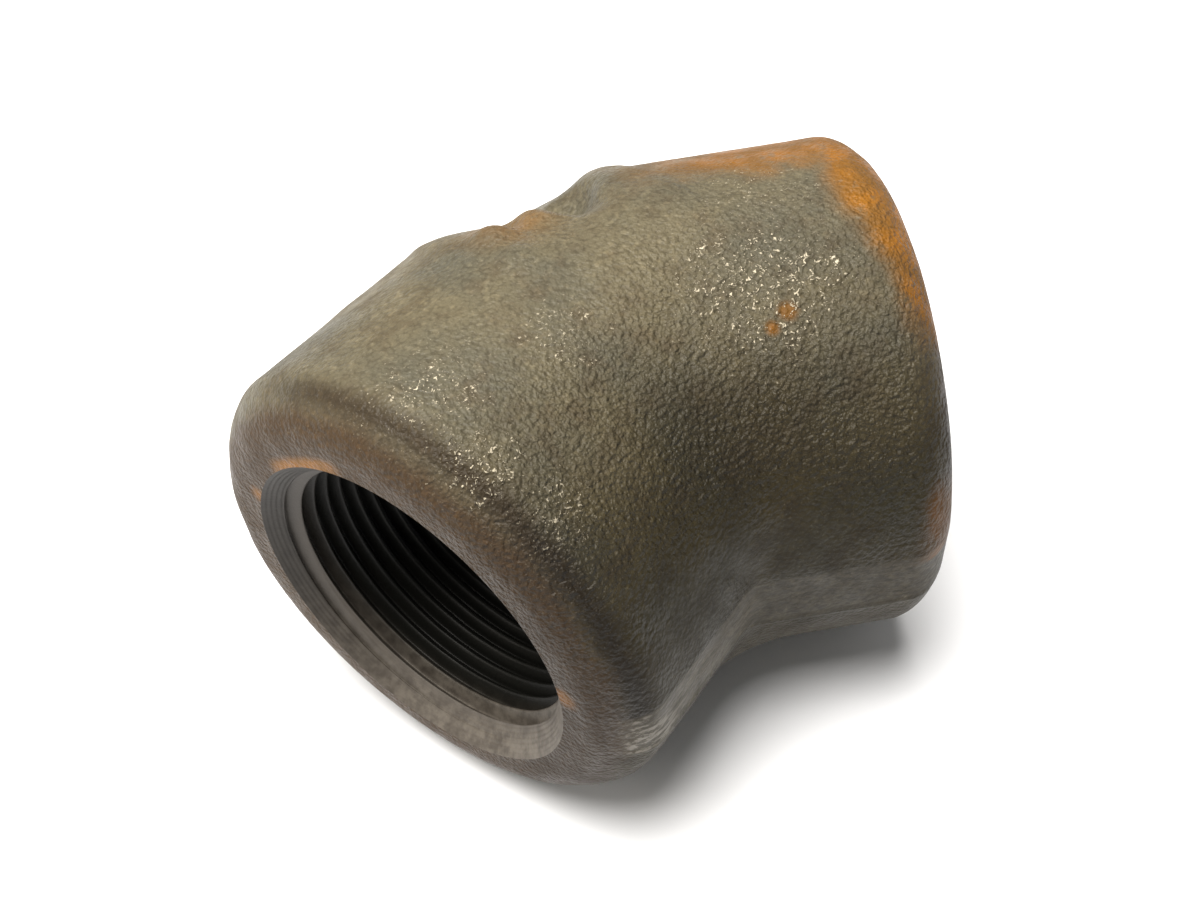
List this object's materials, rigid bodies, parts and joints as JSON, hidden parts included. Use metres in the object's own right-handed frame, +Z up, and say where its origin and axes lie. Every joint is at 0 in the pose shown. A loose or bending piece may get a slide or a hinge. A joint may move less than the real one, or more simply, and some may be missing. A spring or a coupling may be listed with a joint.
{
  "type": "threaded forty-five degree pipe elbow",
  "caption": "Forged steel forty-five degree elbow with a taper-threaded port at each end, thick banded collars and a lower neck between them.",
  "frame": {"origin": "centre of port A's face, on that port's axis", "axes": "+X runs from port A's face into the fitting along its axis, port B turns away by 45 degrees towards -Y in the XY plane, +Z is up as the fitting lies on its side"},
  "size_m": [0.0832, 0.0764, 0.0624],
  "materials": {
    "forged_steel": "dark forge scale, matt and pebbled, with orange rust on one rim and dark machined threads"
  },
  "bodies": {
    "root": {"elbow_body": "forged_steel"}
  },
  "joints": []
}
